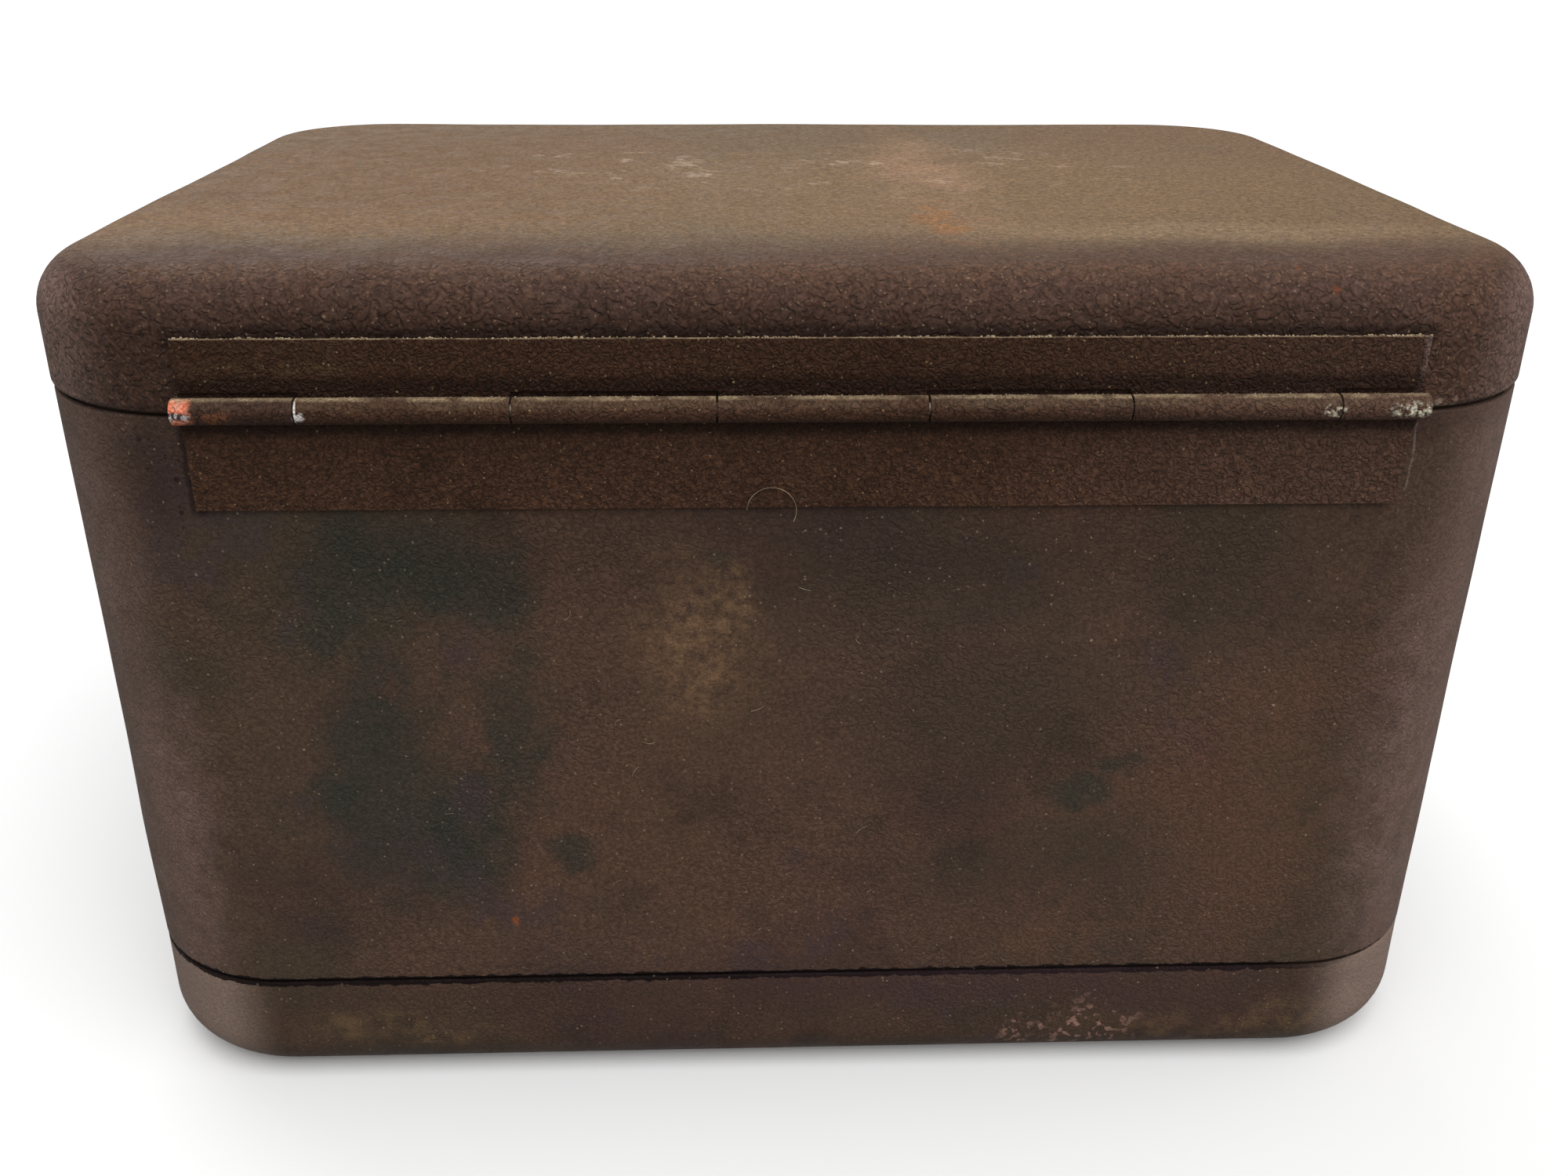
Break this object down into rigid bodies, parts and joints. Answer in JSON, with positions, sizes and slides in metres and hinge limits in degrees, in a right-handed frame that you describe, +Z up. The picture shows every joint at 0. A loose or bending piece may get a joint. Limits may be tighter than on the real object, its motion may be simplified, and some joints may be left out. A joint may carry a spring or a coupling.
{
  "type": "metal lunch box",
  "caption": "Rectangular sheet-steel lunch box with rounded corners, a full-width rear hinge, front snap clasps and a swinging bail handle.",
  "frame": {"origin": "middle of the flat base, on the surface the box stands on", "axes": "+Z up; +X along the width; +Y to the back, where the hinge is; the clasps and handle are at -Y"},
  "size_m": [0.254, 0.2058, 0.156],
  "materials": {
    "body_paint": "brown wrinkle enamel, dusty, with dark green wear patches",
    "lid_paint": "brown wrinkle enamel under a tan film of dust",
    "inner_paint": "smooth brown enamel",
    "hinge_paint": "brown enamel worn to bare steel on the knuckles' edges",
    "plated_steel": "dull nickel plate, tarnished",
    "bare_steel": "plain steel, lightly rusted",
    "grip": "dark brown moulded grip, satin"
  },
  "bodies": {
    "body": {"body_shell": "body_paint", "base_pan": "body_paint", "rim_collar": "inner_paint", "hinge_body_leaf": "hinge_paint", "hinge_pin": "bare_steel", "catch_plate_left": "plated_steel", "catch_plate_right": "plated_steel", "catch_rivets": "plated_steel", "handle_bracket_left": "plated_steel", "handle_bracket_right": "plated_steel", "handle_bracket_rivets": "plated_steel"},
    "lid": {"lid_shell": "lid_paint", "hinge_lid_leaf": "hinge_paint", "clasp_bracket_left": "plated_steel", "clasp_bracket_right": "plated_steel", "clasp_bracket_rivets": "plated_steel", "clasp_pin_left": "bare_steel", "clasp_pin_right": "bare_steel"},
    "clasp_left": {"clasp_plate_left": "plated_steel"},
    "clasp_right": {"clasp_plate_right": "plated_steel"},
    "handle": {"handle_bail": "bare_steel", "handle_grip": "grip"}
  },
  "joints": [
    {"name": "lid_hinge", "type": "hinge", "parent": "body", "child": "lid", "pos_m": [0, 0.0964, 0.1355], "axis": [-1, 0, 0], "range_deg": [0, 180]},
    {"name": "clasp_left_swing", "type": "hinge", "parent": "lid", "child": "clasp_left", "pos_m": [-0.075, -0.0962, 0.1395], "axis": [-1, 0, 0], "range_deg": [0, 165]},
    {"name": "clasp_right_swing", "type": "hinge", "parent": "lid", "child": "clasp_right", "pos_m": [0.075, -0.0962, 0.1395], "axis": [-1, 0, 0], "range_deg": [0, 165]},
    {"name": "handle_swing", "type": "hinge", "parent": "body", "child": "handle", "pos_m": [0, -0.1008, 0.08], "axis": [-1, 0, 0], "range_deg": [0, 180]}
  ]
}
